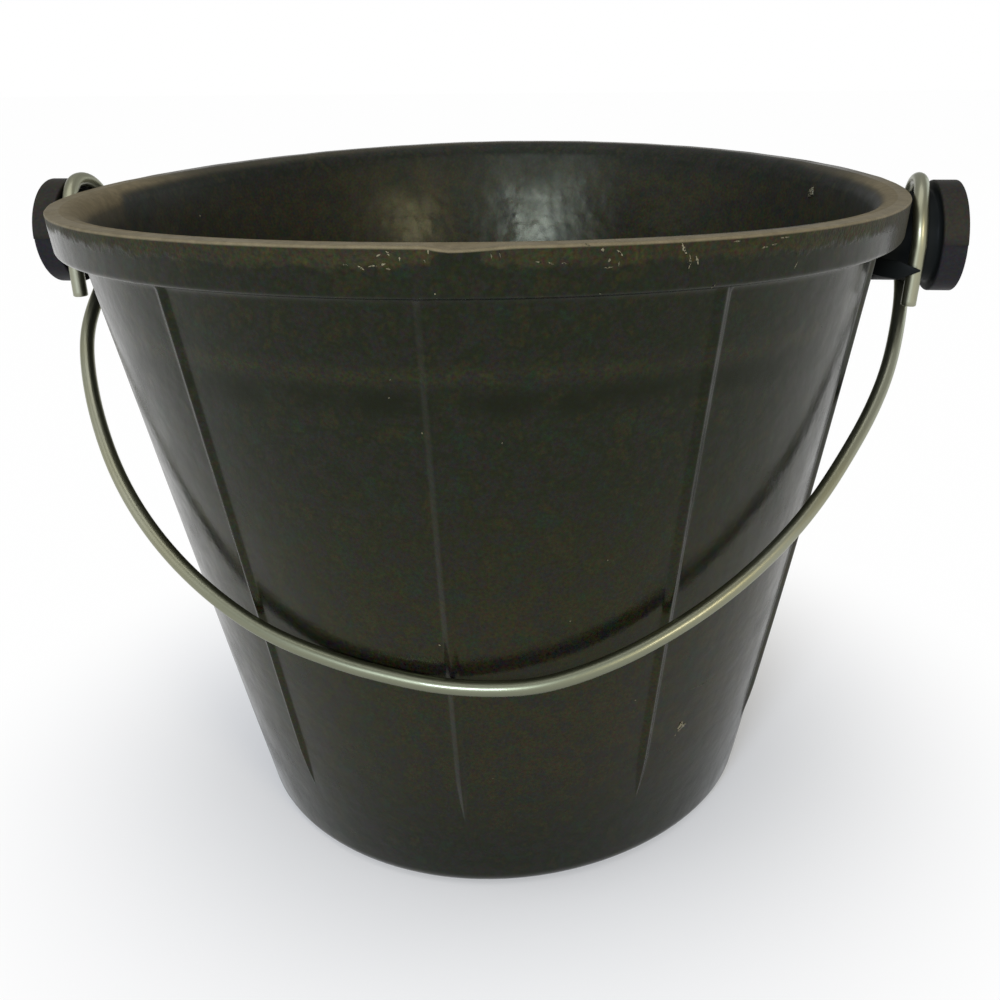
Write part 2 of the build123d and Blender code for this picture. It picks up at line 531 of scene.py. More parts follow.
def rounded_outline(corners: list[tuple[float, float, float, int]], runs: list[np.ndarray]) -> np.ndarray:
    """Outline through corner points with each corner replaced by a tangent arc.

    Each arc leaves the corner's two runs at radius / tan(half the corner's angle) from the corner.
    Each run is sampled at its own shares of the length between the arcs.

    Args:
        corners: Points with their rounding radius and number of arc steps, ends with radius 0.
        runs: Shares strictly between 0 and 1 at which each straight run is sampled.

    Returns:
        Points of the outline, with a third column: whole numbers on runs, halves on arcs and at the end.
    """
    xy = np.array([c[:2] for c in corners], float)
    rows: list[np.ndarray] = []
    leave = xy[0]
    rows.append(np.array([[*leave, 0.0]]))
    for index, shares in enumerate(runs):
        a, corner = xy[index], xy[index + 1]
        _, _, radius, steps = corners[index + 1]
        forward = (corner - a) / np.linalg.norm(corner - a)
        enter, arc = corner, np.zeros((0, 2))
        if radius > 0.0:
            onward = xy[index + 2] - corner
            onward = onward / np.linalg.norm(onward)
            half = 0.5 * math.acos(np.clip(-forward @ onward, -1.0, 1.0))
            enter = corner - forward * radius / math.tan(half)
            bisector = (onward - forward) / np.linalg.norm(onward - forward)
            centre = corner + bisector * radius / math.sin(half)
            turn = np.linspace(0.0, math.pi - 2.0 * half, steps + 1)[:, None]
            arc = centre + (enter - centre) * np.cos(turn) + forward * radius * np.sin(turn)
        run = leave + (enter - leave) * shares[:, None]
        rows.append(np.column_stack([run, np.full(len(run), float(index))]))
        ends = arc if radius > 0.0 else enter[None, :]
        rows.append(np.column_stack([ends, np.full(len(ends), index + 0.5)]))
        leave = ends[-1]
    return np.concatenate(rows)


@dataclass(frozen=True)
class Mark:
    """A sliver torn up by trimming, a crumb or a scratch, lying on the rubber.

    The angle goes round from the front to the right and the lean up from the rim's direction, both in
    degrees. Lengths are in millimetres. Pale is the share of the torn rubber's light colour.
    """

    angle: float
    z: float
    length: float
    lean: float
    width: float
    pale: float


MARKS = {
    Ground.BAND: (
        Mark(0.2, 248.2, 1.5, -52.0, 0.31, 0.8), Mark(-0.8, 247.6, 1.8, 22.0, 0.22, 0.8),
        Mark(1.3, 247.0, 1.1, -87.0, 0.25, 0.8), Mark(4.1, 248.6, 1.3, -89.0, 0.31, 0.8),
        Mark(-2.6, 244.8, 2.0, -30.0, 0.28, 0.8), Mark(-1.4, 245.3, 2.5, 5.0, 0.25, 0.64),
        Mark(-0.4, 245.6, 2.0, 11.0, 0.25, 0.64), Mark(0.1, 244.6, 1.3, -9.0, 0.25, 0.48),
        Mark(3.7, 246.4, 1.0, -48.0, 0.25, 0.48), Mark(-4.2, 245.5, 1.6, 1.0, 0.22, 0.32),
        Mark(10.1, 247.6, 1.4, -83.0, 0.22, 0.48), Mark(10.9, 248.1, 2.2, -81.0, 0.19, 0.4),
        Mark(14.6, 245.9, 1.6, -7.0, 0.22, 0.56), Mark(15.8, 245.5, 1.4, -20.0, 0.22, 0.56),
        Mark(17.1, 245.5, 1.4, -6.0, 0.19, 0.4), Mark(19.4, 249.6, 1.8, -27.0, 0.22, 0.4),
        Mark(20.9, 248.2, 0.9, 0.0, 0.60, 0.72), Mark(21.6, 245.8, 0.9, -40.0, 0.60, 0.56),
        Mark(21.5, 244.0, 2.8, 3.0, 0.22, 0.48), Mark(22.6, 244.8, 1.3, 83.0, 0.19, 0.4),
        Mark(22.7, 247.4, 2.6, -42.0, 0.28, 0.8), Mark(29.5, 247.5, 3.4, -60.0, 0.46, 0.8),
        Mark(30.3, 244.3, 3.9, -92.0, 0.31, 0.8), Mark(31.1, 244.6, 2.6, -71.0, 0.40, 0.72),
        Mark(30.2, 240.6, 8.0, -82.0, 0.12, 0.0), Mark(33.3, 236.9, 2.6, 40.0, 0.15, 0.48),
        Mark(35.8, 248.5, 2.9, 0.0, 0.25, 0.48), Mark(39.4, 246.4, 2.2, 8.0, 0.25, 0.56),
        Mark(40.7, 246.8, 1.9, 5.0, 0.22, 0.56), Mark(42.1, 248.3, 3.3, 0.0, 0.31, 0.56),
        Mark(44.4, 240.4, 2.6, 66.0, 0.19, 0.48), Mark(4.5, 238.0, 0.5, 0.0, 0.30, 0.8),
        Mark(20.8, 237.0, 0.5, 0.0, 0.30, 0.64),
    ),
    Ground.WALL: (
        Mark(44.7, 62.3, 4.6, 15.0, 1.10, 0.70), Mark(44.5, 62.0, 5.0, 75.0, 1.10, 0.70),
        Mark(44.8, 62.4, 4.2, 135.0, 1.00, 0.64), Mark(43.5, 58.7, 0.8, 60.0, 0.30, 0.64),
        Mark(47.7, 79.0, 21.0, -0.8, 0.17, 0.16), Mark(32.8, 83.7, 0.6, 30.0, 0.35, 0.56),
        Mark(7.3, 56.3, 0.5, 30.0, 0.30, 0.40), Mark(1.1, 194.1, 0.5, 0.0, 0.40, 0.64),
        Mark(1.8, 194.2, 0.5, 0.0, 0.40, 0.64), Mark(0.4, 116.3, 0.8, 40.0, 0.45, 0.9),
        Mark(20.1, 123.9, 0.8, 30.0, 0.35, 0.4), Mark(25.2, 146.2, 0.6, 70.0, 0.30, 0.4),
        Mark(10.7, 190.7, 0.6, 0.0, 0.35, 0.4), Mark(-2.0, 210.7, 0.7, 60.0, 0.30, 0.4),
        Mark(-2.4, 205.1, 0.7, 20.0, 0.30, 0.4),
    ),
    Ground.BORE: (
        Mark(115.4, 240.2, 4.4, 20.0, 2.40, 0.50), Mark(251.6, 232.0, 1.2, 0.0, 0.50, 0.60),
        Mark(184.4, 222.4, 0.8, 50.0, 0.40, 0.48), Mark(172.3, 232.6, 0.8, 10.0, 0.40, 0.4),
    ),
}


@dataclass(frozen=True)
class Station:
    """Where each point of the body's grid lies on the true moulding.

    Radius, height z and run hold one value per row, the angle round from the front one per point.
    """

    radius: np.ndarray
    z: np.ndarray
    run: np.ndarray
    angle: np.ndarray

    def on(self, first: Run, last: Run) -> np.ndarray:
        """True on the rows from the first run to the last."""
        return (self.run >= first.value) & (self.run <= last.value)


@dataclass
class RubberBody:
    """The moulded bucket: turned wall, rim band and floor, ten ribs and two lugs.

    Lengths are in millimetres and angles in radians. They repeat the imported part's own sizes, apart
    from lower ribs and a few edge roundings that follow the photo. The photographed bucket has settled
    a little out of round, and the fields from saddle on carry that. Pairs named radius, z or degrees
    are where a change across the surface starts and ends.
    """

    height: float = 250.0
    rim_radius: float = 160.0
    base_radius: float = 104.5
    overhang: float = 7.0
    wall: float = 5.0
    floor: float = 6.0
    base_round: float = 8.0
    floor_round: float = 10.0
    band_height: float = 14.0
    band_draft: float = 0.1
    band_root_round: float = 4.5
    band_edge_round: float = 2.0
    rim_edge_round: float = 0.5
    rim_round: float = 8.0
    rib_count: int = 10
    rib_height: float = 1.7
    rib_half_width: float = 3.0
    rib_crown: float = 0.6
    rib_end: float = 34.5
    rib_run_out: float = 20.0
    rib_low_width: float = 0.8
    rib_foot_softness: float = 0.14
    lug_z: float = 232.5
    lug_root: float = 140.0
    boss_radius: float = 16.5
    flange_radius: float = 20.75
    flange_inner: float = 170.0
    flange_outer: float = 179.0
    parting_step: float = 0.5
    saddle: float = 2.246
    oval: float = 0.007
    rib_phase: float = 0.0489
    rib_warp: float = -0.028
    rib_twist: float = -0.0213
    unevenness: float = 0.22
    side_bulge: float = 1.5
    base_wave: float = 0.6
    rim_lift: float = 0.6
    rim_lift_z: Span = (244.0, 249.0)
    trim_ripple: float = 0.12
    trim_radius: Span = (153.0, 158.5)
    trim_z: Span = (248.5, 250.0)
    dip: float = 1.1
    dip_radius: Span = (153.0, 159.0)
    dip_z: Span = (246.0, 250.0)
    dip_in_degrees: Span = (3.4, 6.0)
    dip_out_degrees: Span = (6.0, 13.5)
    strip_height: float = 5.0
    tan_radius: Span = (151.0, 154.0)
    tan_z: Span = (243.0, 249.0)
    flap_line: tuple[tuple[float, float, float], ...] = (
        (146.0, -12.5, 224.4),
        (154.5, -21.2, 224.0),
        (163.6, -24.4, 224.2),
    )
    flap_height: float = 3.4
    flap_thickness: float = 0.5
    lug_shift: dict[Side, tuple[float, float, float]] = field(
        default_factory=lambda: {Side.LEFT: (-0.75, 0.55, 0.0), Side.RIGHT: (-0.1, 0.2, 0.085)}
    )

    @property
    def band_z(self) -> float:
        """Height of the band's lower edge."""
        return self.height - self.band_height

    def wall_radius(self, z: np.ndarray) -> np.ndarray:
        """Outer radius of the plain wall at height z."""
        return self.base_radius + (self.rim_radius - self.overhang - self.base_radius) * z / self.height

    def band_radius(self, z: np.ndarray) -> np.ndarray:
        """Outer radius of the rim band at height z."""
        return self.rim_radius - self.band_draft * (self.height - z)

    def outline(self) -> np.ndarray:
        """Half section of the bucket from the middle of the underside round to the middle of the floor.

        Returns:
            Radius, height and run number of each row of the grid.
        """
        pole = 6.0
        wall_top, band_low = float(self.wall_radius(self.band_z)), float(self.band_radius(self.band_z))
        bore_low, bore_top = (float(self.wall_radius(z)) - self.wall for z in (self.floor, self.height))
        corners = [
            (pole, 0.0, 0.0, 0),
            (self.base_radius, 0.0, self.base_round, 10),
            (wall_top, self.band_z, self.band_root_round, 8),
            (band_low, self.band_z, self.band_edge_round, 6),
            (self.rim_radius, self.height, self.rim_edge_round, 4),
            (bore_top, self.height, self.rim_round, 12),
            (bore_low, self.floor, self.floor_round, 8),
            (pole, self.floor, 0.0, 0),
        ]
        rib_ends = np.linspace(0.1, 0.22, 24)
        runs = [
            np.linspace(0.2, 0.95, 6),
            np.concatenate([np.array([0.03, 0.065]), rib_ends, np.linspace(0.24, 0.98, 20)]),
            np.array([0.5]),
            np.linspace(0.06, 0.96, 12),
            np.linspace(0.14, 0.86, 6),
            np.linspace(0.03, 0.97, 18),
            np.linspace(0.1, 0.9, 6),
        ]
        return rounded_outline(corners, runs)

    def columns(self) -> tuple[np.ndarray, np.ndarray]:
        """Columns of one rib's sector: an offset from the rib's line, then a share of the way to the next.

        Returns:
            Offsets in millimetres and shares from 0 to 1, one pair per column.
        """
        near = np.array([0.0, 0.25, 0.5, 0.8, 1.2, 1.6, 2.0, 2.3, 2.6, 2.8, 3.0, 3.2, 3.5, 4.0, 4.8, 6.0])
        share = np.linspace(0.0, 1.0, 13)[1:]
        right = np.concatenate([near, np.full(len(share), near[-1])])
        reach = np.concatenate([np.zeros(len(near)), share])
        offsets = np.concatenate([-right[:0:-1][1:], right])
        shares = np.concatenate([reach[:0:-1][1:], reach])
        return offsets, shares

    def rib_rise(self, offset: np.ndarray, z: np.ndarray) -> tuple[np.ndarray, np.ndarray]:
        """Height of a rib over the wall and the share of its full width.

        The section is a low ridge: two straight slopes with a small crown between them and a soft
        foot. The rib narrows evenly down the wall. Near its lower end the height follows
        1 - (1 - t)^1.6 and the width 0.1 + 0.9 t^0.8 of the share t of the run-out.

        Args:
            offset: Distance from the rib's line where the rib has its full width.
            z: Height over the ground.

        Returns:
            Rise in millimetres and the width share.
        """
        t = np.clip((z - self.rib_end) / self.rib_run_out, 0.0, 1.0)
        low = self.rib_end + self.rib_run_out
        upward = np.clip((z - low) / (self.band_z - low), 0.0, 1.0)
        width = (0.1 + 0.9 * t**0.8) * (self.rib_low_width + (1.0 - self.rib_low_width) * upward)
        slope = 1.0 - np.hypot(offset, self.rib_crown) / self.rib_half_width
        slope = 0.5 * (slope + np.hypot(slope, self.rib_foot_softness))
        return self.rib_height * (1.0 - (1.0 - t) ** 1.6) * slope, width

    def wave(self, angle: np.ndarray, z: np.ndarray) -> np.ndarray:
        """Outward distance of the uneven wall from the true cone, none at the base and at the band.

        Args:
            angle: Angle round the axis from the front.
            z: Height over the ground.

        Returns:
            Distance in millimetres.
        """
        uneven = self.unevenness * ripple(angle, 3, (2, 3, 5, 7))
        uneven = uneven + self.side_bulge * smooth(np.sin(angle), 0.6, 1.0)
        return uneven * np.sin(np.pi * np.clip(z / self.band_z, 0.0, 1.0))

    def front_rise(self, angle: np.ndarray, z: np.ndarray) -> np.ndarray:
        """Upward shift of the rim: rim_lift at the front, none at the back and below the rim."""
        return 0.5 * self.rim_lift * (1.0 + np.cos(angle)) * smooth(z, *self.rim_lift_z)

    def settle(self, points: np.ndarray) -> np.ndarray:
        """Moves points of the round moulding to the photographed bucket's slightly settled form.

        With t the share of the height over the floor and a the angle from the front, the front and
        back rise by saddle (1 + cos 2a) t and draw in by the share oval (1 + cos 2a) t, so nothing
        moves at the lugs and at the base.

        Args:
            points: Points in millimetres.

        Returns:
            Moved points.
        """
        x, y, z = np.moveaxis(points, -1, 0)
        share = np.maximum(z - self.floor, 0.0) / (self.height - self.floor)
        swell = (1.0 + np.cos(2.0 * np.arctan2(x, -y))) * share
        draw = 1.0 - self.oval * swell
        return np.stack([x * draw, y * draw, z + self.saddle * swell], -1)

    def wear(self, at: Station) -> tuple[np.ndarray, np.ndarray]:
        """Shifts of the used bucket's surface from the true moulding.

        The wall is wavy and the base is out of round by base_wave cos 4a. The cut edge of the rim is
        finely uneven, its front stands higher, and just right of the front one cut dips.

        Args:
            at: Places on the moulding.

        Returns:
            Outward and upward shifts in millimetres.
        """
        foot = smooth(at.radius, 40.0, self.base_radius - self.base_round) * at.on(Run.UNDERSIDE, Run.WALL)
        foot = foot * (1.0 - smooth(at.z, 0.0, 60.0))
        brim = at.on(Run.BAND, Run.RIM)
        edge = smooth(at.z, *self.trim_z) * smooth(at.radius, *self.trim_radius) * brim
        out = self.wave(at.angle, at.z) * at.on(Run.WALL, Run.FLOOR_ROUND)
        out = out + self.base_wave * np.cos(4.0 * at.angle) * foot
        out = out + self.trim_ripple * edge * ripple(at.angle, 11, (9, 17, 26, 41, 63))
        turn = np.degrees(at.angle)
        deep = smooth(turn, *self.dip_in_degrees) * (1.0 - smooth(turn, *self.dip_out_degrees)) * brim
        deep = deep * smooth(at.z, *self.dip_z) * smooth(at.radius, *self.dip_radius)
        lift = self.trim_ripple * edge * ripple(at.angle, 12, (7, 15, 31, 52)) - self.dip * deep
        return out, lift + self.front_rise(at.angle, at.z) * at.on(Run.BAND, Run.BORE)

    def masks(self, at: Station) -> dict[str, np.ndarray]:
        """Where the rubber is brown, tan, dusty or stained, and where it is inside.

        The flash strip's lower border is ragged and climbs where the edge was cut twice. The tan ends inside
        the rim and is partly the cut face's colour and partly painted sheen, which is faint at the back. It
        reaches over the inner round at the right end, and beside the left lug it reaches down the inner round
        as painted light.

        Args:
            at: Places on the moulding.

        Returns:
            Shares from 0 to 1 by the mask's name.
        """
        side, front, turn = np.sin(at.angle), np.cos(at.angle), np.degrees(at.angle)
        border = self.height - self.strip_height + 0.9 * ripple(at.angle, 5, (13, 29, 47))
        border = border + 6.0 * smooth(turn, 4.0, 5.5) * (1.0 - smooth(turn, 8.5, 10.0))
        border = border + 1.6 * smooth(-side, 0.3, 0.8)
        strip = np.clip(0.5 + (at.z - border) / 4.0, 0.0, 1.0)
        # The tan carries painted sheen, so it fades towards the back; near the right lug it reaches over the
        # inner round, and beside the left lug it reaches down it as painted light.
        left = smooth(-side, 0.80, 0.92) * smooth(front, -0.01, 0.05)
        cut = at.radius - 3.5 * side + 6.0 * smooth(side, 0.7, 0.93) + 3.0 * left
        tan = smooth(cut, *self.tan_radius) * smooth(at.z + 2.0 * left, *self.tan_z)
        tan = tan * (0.2 + 0.8 * smooth(front, -0.45, -0.05))
        sides = smooth(np.abs(side), 0.4, 0.8) * smooth(at.z, 60.0, 120.0)
        masks = {
            "flash_strip": strip * at.on(Run.BAND, Run.RIM_EDGE),
            "trimmed_rim": tan * at.on(Run.RIM_EDGE, Run.BORE),
            "inside": at.on(Run.BORE, Run.FLOOR_MIDDLE),
            "dusty": np.maximum(sides, smooth(at.z, 229.0, 243.0)) * at.on(Run.RIM_ROUND, Run.FLOOR_MIDDLE),
            "stain": smooth(side, 0.90, 0.95) * at.on(Run.BAND_UNDERSIDE, Run.RIM_EDGE),
        }
        return {name: value + 0.0 * at.angle for name, value in masks.items()}

    def shell(self, surface: Surface) -> None:
        """Adds the turned wall with its ribs: angle and radius as functions of row and column.

        Columns near a rib keep a fixed distance from its line and narrow with its end. The rib's rise
        is added to the radius and fades out across the underside of the band. The ribs' lines turn
        by rib_warp sin 2a and by rib_twist towards the base.

        Args:
            surface: Receives the grid.
        """
        rows = self.outline()
        radius, z, run = (rows[:, k][:, None] for k in range(3))
        offsets, shares = self.columns()
        offset, share = (np.tile(values, self.rib_count)[None, :] for values in (offsets, shares))
        rib_angle = np.repeat(np.arange(self.rib_count), len(offsets))[None, :] * 2.0 * np.pi / self.rib_count
        wall = self.wall_radius(np.clip(z, 0.0, self.band_z))
        rise, width = self.rib_rise(offset, z + 0.0 * offset)
        half = np.pi / self.rib_count * np.sign(offset)
        angle = rib_angle + self.rib_phase + offset * width / wall * (1.0 - share) + half * share
        angle = angle + self.rib_warp * np.sin(2.0 * angle) + self.rib_twist * (1.0 - z / self.height)
        at = Station(radius, z, run, angle)
        step = float(self.band_radius(self.band_z) - self.wall_radius(self.band_z))
        fade = np.clip(1.0 - (radius - wall) / step, 0.0, 1.0) * at.on(Run.BAND_ROOT, Run.BAND_EDGE)
        out, lift = self.wear(at)
        out = out + radius + rise * (fade + at.on(Run.WALL, Run.WALL))
        grid = np.stack([out * np.sin(angle), -out * np.cos(angle), z + lift], -1)
        finish = np.where(rows[:, 2] >= Run.RIM_ROUND.value, Coat.BORE.value, Coat.RUBBER.value)
        surface.add_grid(self.settle(grid), self.masks(at), finish)
        LOG.info("shell rows %d, columns %d", *angle.shape)

    def lug(self, surface: Surface, side: Side) -> None:
        """Adds one lug turned about the X axis: boss and retaining disc, stepped at the mould parting.

        The boss starts inside the wall on the surface half way through its thickness, or under the
        round of the rim. Above the parting the disc keeps its full radius, below it loses the parting
        step. The lug's shift moves the disc outwards and the lug up, and turns the disc's front edge
        outwards.

        Args:
            surface: Receives the grid.
            side: Which lug.
        """
        reach, lift, skew = self.lug_shift[side]
        inner, outer, lug_z = self.flange_inner + reach, self.flange_outer + reach, self.lug_z + lift
        corners = [
            (self.lug_root, self.boss_radius, 0.0, 0),
            (inner, self.boss_radius, 1.5, 4),
            (inner, self.flange_radius, 0.6, 4),
            (outer, self.flange_radius, 0.5, 4),
            (outer, 2.0, 0.0, 0),
        ]
        disc_inside = 1.0
        shares = ((0.1, 0.95, 12), (0.5, 0.5, 1), (0.1, 0.9, 7), (0.15, 0.85, 5))
        outline = rounded_outline(corners, [np.linspace(*run) for run in shares])
        along, radius, run = (outline[:, k][:, None] for k in range(3))
        arc = np.linspace(0.0, np.pi, 41)
        seam = np.radians(0.25)
        arc = np.concatenate([[seam], arc[1:-1], [np.pi - seam]])
        turn = np.concatenate([arc, arc + np.pi])[None, :]
        low = (turn > np.pi) * 1.0
        disc = smooth(radius, self.boss_radius + 1.0, self.flange_radius - 1.0)
        radius = radius - self.parting_step * low * disc
        y, z = radius * np.cos(turn), lug_z + radius * np.sin(turn)
        over = np.maximum(z - self.height + self.rim_round, 0.0)
        brim = self.rim_radius - self.overhang - self.wall + self.rim_round
        brim = brim - np.sqrt(np.maximum(self.rim_round**2 - over**2, 0.0))
        skin = 1.2
        start = np.sqrt(np.maximum(self.wall_radius(z) - 0.5 * self.wall, brim + skin) ** 2 - y * y)
        share = np.clip((along - self.lug_root) / (inner - self.lug_root), 0.0, 1.0)
        x = np.where(along < inner, start + (inner - start) * share, along + 0.0 * turn)
        x = x - side.value * skew * y * smooth(x, self.rim_radius, inner)
        grid = np.stack([side.value * x, side.value * y, z], -1)
        # lug_upper carries the painted sheen of the upper half, lug_face the painted shade of the boss and
        # the disc's inner face.
        masks = {"lug_upper": (1.0 - low) + 0.0 * x, "lug_face": (run <= disc_inside) + 0.0 * x}
        surface.add_grid(grid, masks, Coat.LUG.value)

    def mark(self, surface: Surface, ground: Ground, mark: Mark, seed: int) -> None:
        """Adds one mark as a closed sliver: an uneven ellipse carried along a slightly bent line.

        The girth follows (1 - |s|)^0.7 of the share s from -1 to 1 along the sliver, with random
        steps. Half of the sliver is sunk in the rubber and one end of a short one curls up a little.

        Args:
            surface: Receives the grid.
            ground: Surface that carries the mark.
            mark: Size and place of the mark.
            seed: Seed of its random steps.
        """
        rng = np.random.default_rng(seed)
        share = np.linspace(-1.0, 1.0, 11)[:, None]
        turn = np.linspace(0.0, 2.0 * np.pi, 8, endpoint=False)[None, :]
        girth = mark.width * (1.0 - np.abs(0.98 * share)) ** 0.7 * rng.uniform(0.6, 1.3, share.shape)
        along = 0.5 * mark.length * share + 0.0 * turn
        across = 0.12 * mark.length * rng.uniform(-1.0, 1.0) * share**2 + girth * np.cos(turn)
        curl = 0.06 * mark.length * np.maximum(share, 0.0) ** 2 * (mark.length < 5.0)
        rise = 0.5 * girth * np.sin(turn) + curl
        lean = math.radians(mark.lean)
        right = along * math.cos(lean) - across * math.sin(lean)
        z = mark.z + along * math.sin(lean) + across * math.cos(lean)
        angle = math.radians(mark.angle) + right / self.wall_radius(z)
        radius = self.wave(angle, z) + {
            Ground.BAND: self.band_radius(z) + rise,
            Ground.WALL: self.wall_radius(z) + rise,
            Ground.BORE: self.wall_radius(z) - self.wall - rise,
        }[ground]
        lift = self.front_rise(angle, z) * (ground is Ground.BAND)
        grid = np.stack([radius * np.sin(angle), -radius * np.cos(angle), z + lift], -1)
        coat = Coat.BORE if ground is Ground.BORE else Coat.RUBBER
        surface.add_grid(self.settle(grid), {"torn": np.full(angle.shape, mark.pale)}, coat.value)

    def flap(self, surface: Surface) -> None:
        """Adds the tongue of moulding flash that hangs from the right boss in front of the wire's tail.

        A flat ellipse follows a quadratic curve through root, middle and tip. Its half height stays
        full over the first half and runs out to the tip as a straight line.

        Args:
            surface: Receives the grid.
        """
        root, middle, tip = (np.array(p) for p in self.flap_line)
        up = np.array([0.0, 0.0, 1.0])
        share = np.linspace(0.0, 1.0, 25)[:, None]
        turn = np.linspace(0.0, 2.0 * np.pi, 14, endpoint=False)[None, :, None]
        knot = 2.0 * middle - 0.5 * (root + tip)
        line = (1.0 - share) ** 2 * root + 2.0 * share * (1.0 - share) * knot + share**2 * tip
        facing = np.cross(np.gradient(line, axis=0), up)
        facing /= np.linalg.norm(facing, axis=1, keepdims=True)
        tall = self.flap_height * np.minimum(1.0, (1.04 - share) / 0.45) * up
        thin = self.flap_thickness * np.minimum(1.0, 0.4 + (1.0 - share)) * facing
        grid = line[:, None, :] + np.cos(turn) * tall[:, None, :] + np.sin(turn) * thin[:, None, :]
        # The tongue takes the lugs' painted shade colour.
        surface.add_grid(grid, {"lug_face": np.ones(grid.shape[:2])}, Coat.LUG.value)

    def build(self) -> bpy.types.Object:
        """Builds the whole moulding as one object.

        Returns:
            The bucket body.
        """
        surface = Surface()
        self.shell(surface)
        for side in Side:
            self.lug(surface, side)
        self.flap(surface)
        placed = [(ground, mark) for ground, marks in MARKS.items() for mark in marks]
        for seed, (ground, mark) in enumerate(placed):
            self.mark(surface, ground, mark, seed)
        return surface.mesh("moulded_body")

    def dress(self, piece: bpy.types.Object, coats: dict[Coat, RubberFinish | LugFinish]) -> None:
        """Gives the body its rubber, with duller lugs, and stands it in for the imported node."""
        for coat in Coat:
            piece.data.materials.append(coats[coat].material())
        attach(piece, "body")
        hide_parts("bucket_body")


@dataclass(frozen=True)
class EyeBend:
    """How far one eye of the photographed wire stands off the true eye.

    Out is the outward shift of the whole eye and front the further shift of its front and tail, in
    millimetres. Lean is the outward lean over the lug and tail_lean the inward lean of the tail.
    """

    out: float
    front: float
    lean: float
    tail_lean: float


